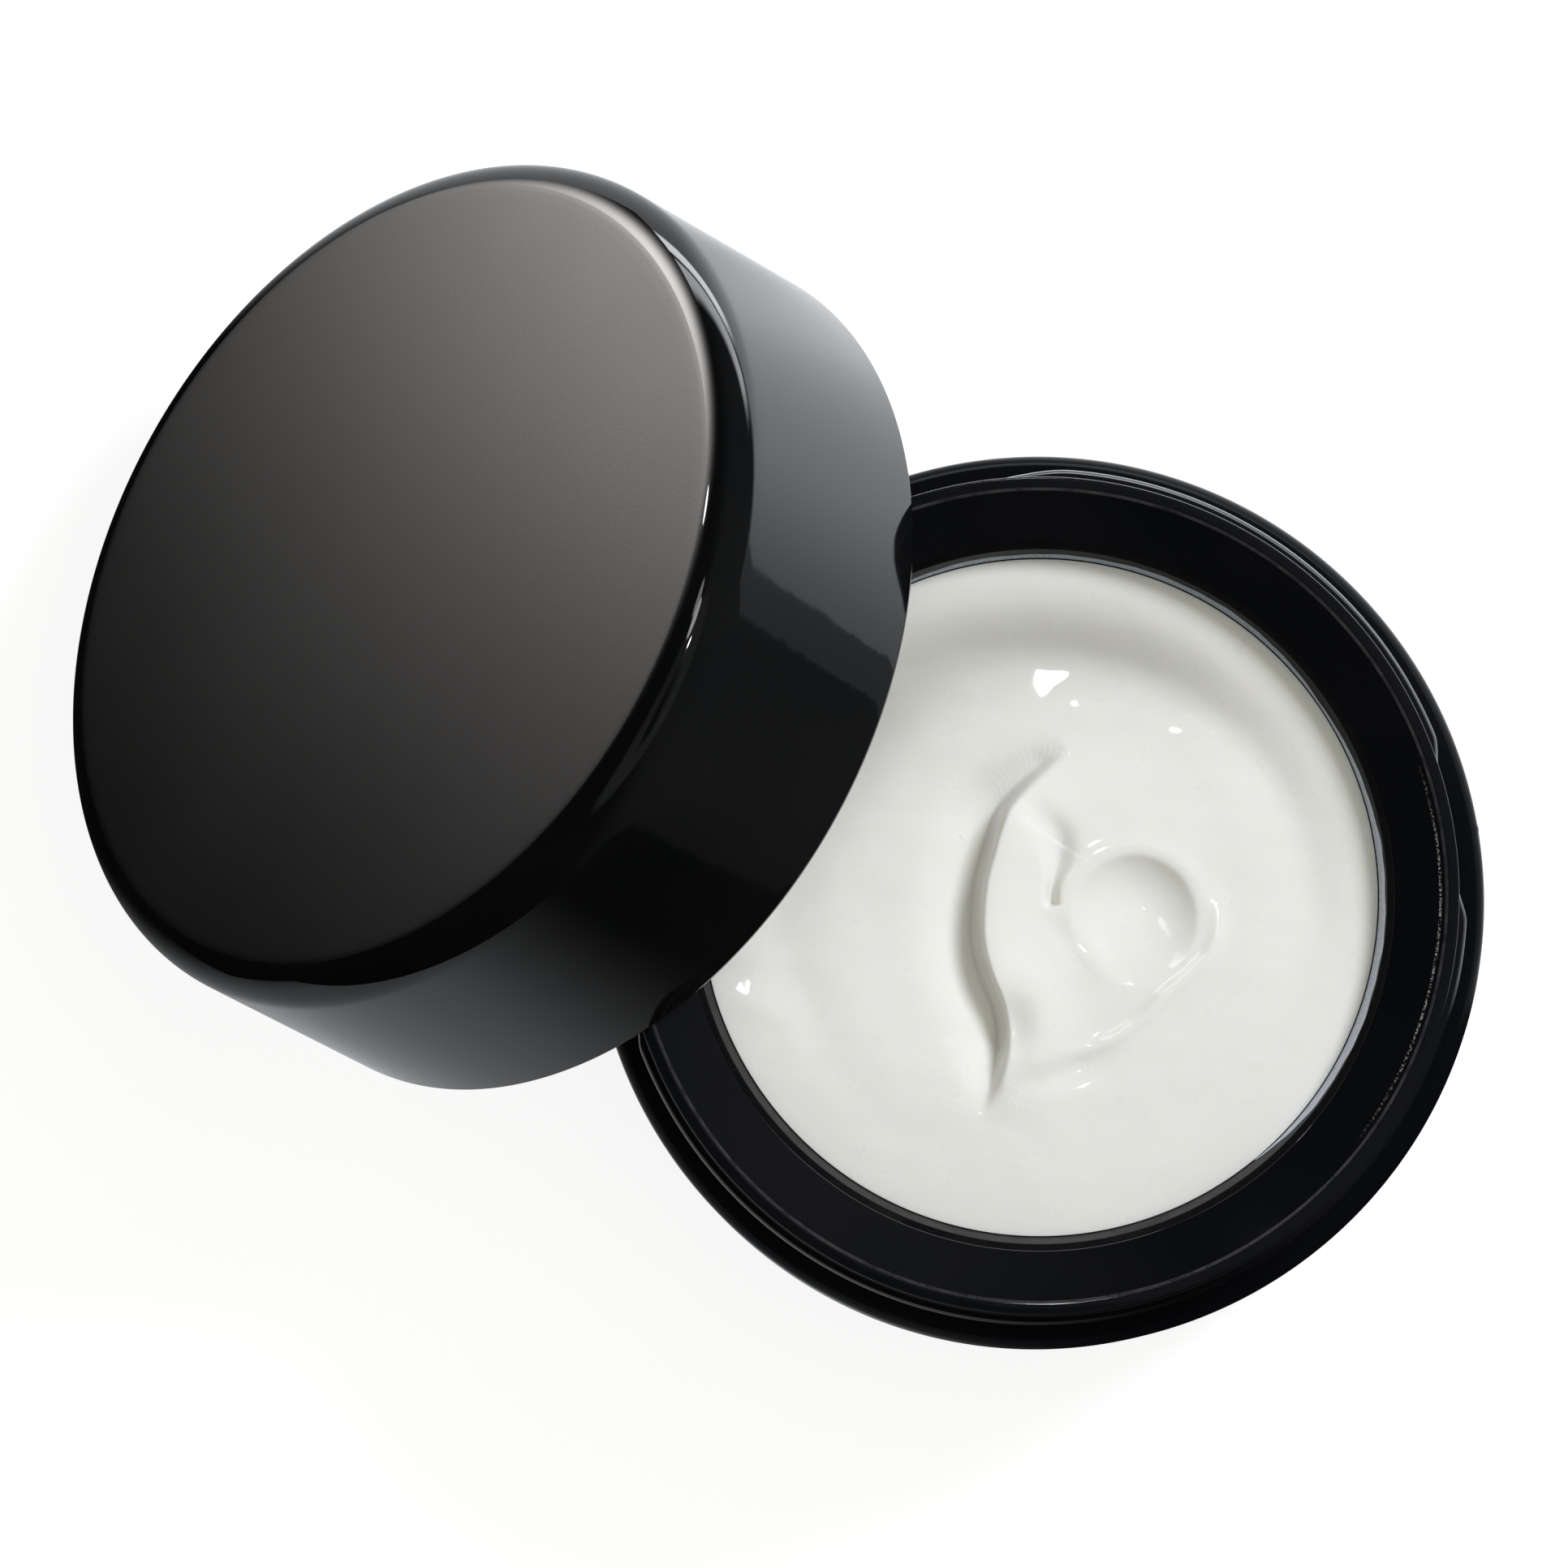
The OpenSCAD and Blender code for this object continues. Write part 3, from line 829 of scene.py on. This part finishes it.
floor = quad("floor", [(-6, -6, 0), (6, -6, 0), (6, 6, 0), (-6, 6, 0)])
fm, nt, b = material("floor_paper", (0.33, 0.33, 0.33), 0.9)
b.inputs["Specular IOR Level"].default_value = 0.0
b.inputs["Emission Color"].default_value = (1, 1, 1, 1)
b.inputs["Emission Strength"].default_value = 0.84
fm.cycles.emission_sampling = "NONE"
nt.links.new(mixed(nt, noise(nt, coords(nt), 40, 4), (0.32, 0.32, 0.32), (0.34, 0.34, 0.34)), b.inputs["Base Color"])
floor.data.materials.append(fm)
rays(floor, camera=True, diffuse=True, glossy=False, shadow=True)

# what the gloss sees below the horizon: the lit table on the far side, its shaded part on the near side
mirror = quad("table_glow", [(-6, -6, -0.0003), (6, -6, -0.0003), (6, 6, -0.0003), (-6, 6, -0.0003)])
mm_, nt, e = emitter("table_glow")
x, y, z = place(nt)
xx = calc(nt, "ADD", x, 0.02)
ang = calc(nt, "MULTIPLY", calc(nt, "ARCTAN2", y, xx), 57.2958)
dist = calc(nt, "SQRT", calc(nt, "ADD", calc(nt, "MULTIPLY", xx, xx), calc(nt, "MULTIPLY", y, y)))
far = calc(nt, "MULTIPLY_ADD", smooth(nt, dist, 0.64, 0.67), -0.65, 1.0)
lit = calc(nt, "MULTIPLY_ADD", smooth(nt, ang, 22, 60), 1.05, 0.88)
lit = calc(nt, "SUBTRACT", lit, calc(nt, "MULTIPLY", smooth(nt, ang, 88, 116), 0.97))
lit = calc(nt, "MULTIPLY", calc(nt, "MULTIPLY", lit, far), smooth(nt, ang, 9, 14))
lit = calc(nt, "MULTIPLY", lit, calc(nt, "MULTIPLY_ADD", smooth(nt, ang, 150, 170), -1.0, 1.0))
strip = calc(nt, "MULTIPLY", smooth(nt, ang, 82, 100), smooth(nt, ang, 166, 140))
strip = calc(nt, "MULTIPLY", strip, calc(nt, "MULTIPLY", smooth(nt, dist, 0.28, 0.36), smooth(nt, dist, 1.3, 1.0)))
lit = calc(nt, "MULTIPLY_ADD", strip, 9.0, lit)
shade = calc(nt, "MULTIPLY", smooth(nt, calc(nt, "MULTIPLY", ang, -1), 38, 80), calc(nt, "MULTIPLY", smooth(nt, calc(nt, "MULTIPLY", ang, -1), 150, 115), 0.55))
total = calc(nt, "ADD", calc(nt, "ADD", lit, shade), 0.006)
nt.links.new(total, e.inputs["Strength"])
e.inputs["Color"].default_value = (0.93, 0.965, 1.0, 1)
mirror.data.materials.append(mm_)
rays(mirror, glossy=True)


def ball(name, radius, centre=(0, 0, 0), rows=48, n=96):
    T = np.linspace(-np.pi / 2, np.pi / 2, rows + 1)
    prof = np.stack([radius * np.cos(T), radius * np.sin(T)], 1) / MM
    V, F = turned(prof, n)
    ob = new_mesh(name, V + np.array(centre) / MM, F)
    return ob


# what the gloss sees above the horizon
dome = ball("sky_glow", 5.0)
dm, nt, e = emitter("sky_glow")
x, y, z = place(nt)
az = calc(nt, "MULTIPLY", calc(nt, "ARCTAN2", y, x), 57.2958)
el = calc(nt, "MULTIPLY", calc(nt, "ARCSINE", calc(nt, "DIVIDE", z, 5.0)), 57.2958)
ring = calc(nt, "MULTIPLY", smooth(nt, el, 64, 70), smooth(nt, el, 84, 79))
turn = calc(nt, "COSINE", calc(nt, "MULTIPLY", calc(nt, "ADD", az, 95), 0.0174533))
ring = calc(nt, "MULTIPLY", ring, calc(nt, "MULTIPLY_ADD", turn, 0.05, 0.15))
wall = calc(nt, "MULTIPLY", smooth(nt, az, 64, 80), smooth(nt, az, 160, 140))
wall = calc(nt, "MULTIPLY", calc(nt, "MULTIPLY", wall, smooth(nt, el, 11, 5)), 5.5)
side = calc(nt, "COSINE", calc(nt, "MULTIPLY", calc(nt, "ADD", az, -45), 0.0174533))
low = calc(nt, "MULTIPLY_ADD", smooth(nt, side, -0.1, 0.7), 0.085, 0.002)
nt.links.new(calc(nt, "ADD", calc(nt, "ADD", ring, wall), low), e.inputs["Strength"])
e.inputs["Color"].default_value = (0.95, 0.975, 1.0, 1)
dome.data.materials.append(dm)
rays(dome, glossy=True)

# pale backdrop
sky = ball("backdrop", 6.5)
sm, nt, e = emitter("backdrop")
e.inputs["Color"].default_value = (1, 1, 1, 1)
e.inputs["Strength"].default_value = 0.95
sky.data.materials.append(sm)
rays(sky, camera=True)

# soft card beside the lid's top
card = quad("side_card", [(-0.135, -0.12, 0.0), (-0.135, 0.135, 0.0), (-0.135, 0.135, 0.2), (-0.135, -0.12, 0.2)])
cm, nt, e = emitter("side_card")
x, y, z = place(nt)
dy = calc(nt, "DIVIDE", calc(nt, "SUBTRACT", y, 0.0596), 0.0351)
dz = calc(nt, "DIVIDE", calc(nt, "SUBTRACT", z, 0.0465), 0.0322)
g = calc(nt, "EXPONENT", calc(nt, "MULTIPLY", calc(nt, "ADD", calc(nt, "MULTIPLY", dy, dy), calc(nt, "MULTIPLY", dz, dz)), -1.0))
nt.links.new(calc(nt, "ADD", calc(nt, "MULTIPLY", g, 13.5), 0.003), e.inputs["Strength"])
e.inputs["Color"].default_value = (1.0, 0.965, 0.935, 1)
card.data.materials.append(cm)
rays(card, glossy=True)

world = bpy.data.worlds.new("room")
bpy.context.scene.world = world
world.use_nodes = True
world.node_tree.nodes["Background"].inputs["Color"].default_value = (1, 1, 1, 1)
world.node_tree.nodes["Background"].inputs["Strength"].default_value = 0.35


def lamp(name, az, el, dist, size, power, glossy, color=(1, 1, 1), aim=(0, 0, 0.03), diffuse=True, shape="DISK"):
    d = Vector((math.cos(math.radians(az)) * math.cos(math.radians(el)), math.sin(math.radians(az)) * math.cos(math.radians(el)), math.sin(math.radians(el))))
    li = bpy.data.lights.new(name, "AREA")
    li.shape, li.size, li.energy, li.color = shape, size, power, color
    ob = bpy.data.objects.new(name, li)
    bpy.context.scene.collection.objects.link(ob)
    ob.location = Vector(aim) + d * dist
    ob.rotation_mode = "QUATERNION"
    ob.rotation_quaternion = d.to_track_quat("Z", "Y")
    ob.visible_camera, ob.visible_glossy, ob.visible_diffuse = False, glossy, diffuse
    return ob


lamp("key", 66, 45, 0.7, 0.26, 3.95, False, (0.96, 0.978, 1.06))
lamp("fill", 20, 80, 1.2, 1.3, 2.7, False, (1, 0.975, 0.72))
lamp("glint_high", 112, 76, 0.9, 0.036, 0.2, True, aim=(-0.02, 0, 0.045), diffuse=False)
lamp("glint_tail", 132, 68, 0.1, 0.016, 0.0035, True, aim=(-0.0285, 0.0054, 0.0557), diffuse=False)
lamp("glint_end", 140, 61, 0.1, 0.014, 0.0014, True, aim=(-0.0288, 0.0068, 0.0555), diffuse=False)
lamp("glint_left", 164, 23, 0.07, 0.006, 0.0025, True, aim=(-0.0313, 0.0126, 0.0536), diffuse=False)

# ------------------------------------------------------------------ camera
cam = bpy.data.objects.new("camera", bpy.data.cameras.new("camera"))
bpy.context.scene.collection.objects.link(cam)
fwd = Vector((-0.026294, 0.035372, -0.999028)).normalized()
right = Vector((0.894114, 0.447774, -0.007678))
right = (right - fwd * right.dot(fwd)).normalized()
up = right.cross(fwd)
cam.matrix_world = Matrix(((right.x, up.x, -fwd.x, 0.0062133), (right.y, up.y, -fwd.y, -0.0346346), (right.z, up.z, -fwd.z, 0.9875522), (0, 0, 0, 1)))
cam.data.sensor_width = 36
cam.data.lens = 323.51
cam.data.clip_start, cam.data.clip_end = 0.01, 100
bpy.context.scene.camera = cam
bpy.context.scene.view_settings.view_transform = "Standard"
